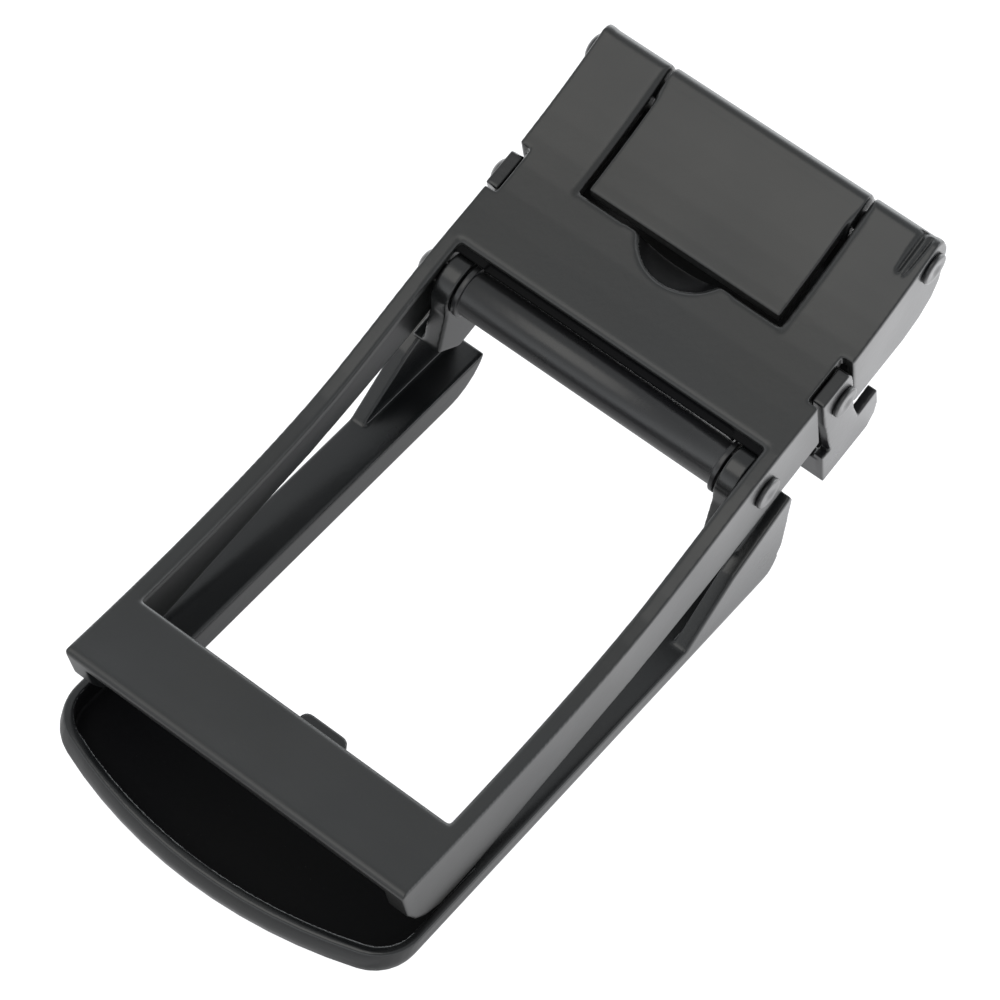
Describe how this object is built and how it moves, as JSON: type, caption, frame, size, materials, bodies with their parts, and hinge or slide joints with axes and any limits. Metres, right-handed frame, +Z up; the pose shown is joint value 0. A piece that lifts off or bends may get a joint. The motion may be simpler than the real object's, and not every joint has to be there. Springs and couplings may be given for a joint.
{
  "type": "ratchet belt buckle",
  "caption": "Black strap buckle with a bowed face frame, a hinged carrier with a roller, a toothed spring pawl and a flap clamp for the strap end.",
  "frame": {"origin": "under the middle of the buckle's length, on the surface that the face frame lies on, in the buckle's middle plane", "axes": "+X along the buckle from the scoop end to the clamp end, +Y across the buckle to the side with the formed pin heads, +Z up, away from the front face"},
  "size_m": [0.087, 0.0425, 0.0331],
  "materials": {
    "black_plate": "satin black",
    "black_face": "glossy black",
    "black_moving": "satin black",
    "dark_pins": "dark metal, slightly worn"
  },
  "bodies": {
    "face": {"face_frame": "black_face"},
    "carrier": {"carrier": "black_plate", "hinge_pin": "dark_pins", "pawl_pin": "dark_pins", "flap_pin": "dark_pins"},
    "roller": {"roller": "black_moving"},
    "pawl": {"pawl": "black_moving"},
    "flap": {"clamp_flap": "black_plate"}
  },
  "joints": [
    {"name": "face_hinge", "type": "hinge", "parent": "face", "child": "carrier", "pos_m": [0.01636, 0, 0.01909], "axis": [0, 1, 0], "range_deg": [0, 12], "stiffness_Nm_per_rad": 0.05, "springref_deg": -17.19},
    {"name": "roller_spin", "type": "hinge", "parent": "carrier", "child": "roller", "pos_m": [0.01636, 0, 0.01909], "axis": [0, 1, 0], "continuous": true},
    {"name": "pawl_pivot", "type": "hinge", "parent": "carrier", "child": "pawl", "pos_m": [0.02773, 0, 0.02225], "axis": [0, 1, 0], "range_deg": [0, 8], "stiffness_Nm_per_rad": 0.02, "springref_deg": -17.19},
    {"name": "flap_hinge", "type": "hinge", "parent": "carrier", "child": "flap", "pos_m": [0.04085, 0, 0.02993], "axis": [0, 1, 0], "range_deg": [0, 100]}
  ]
}
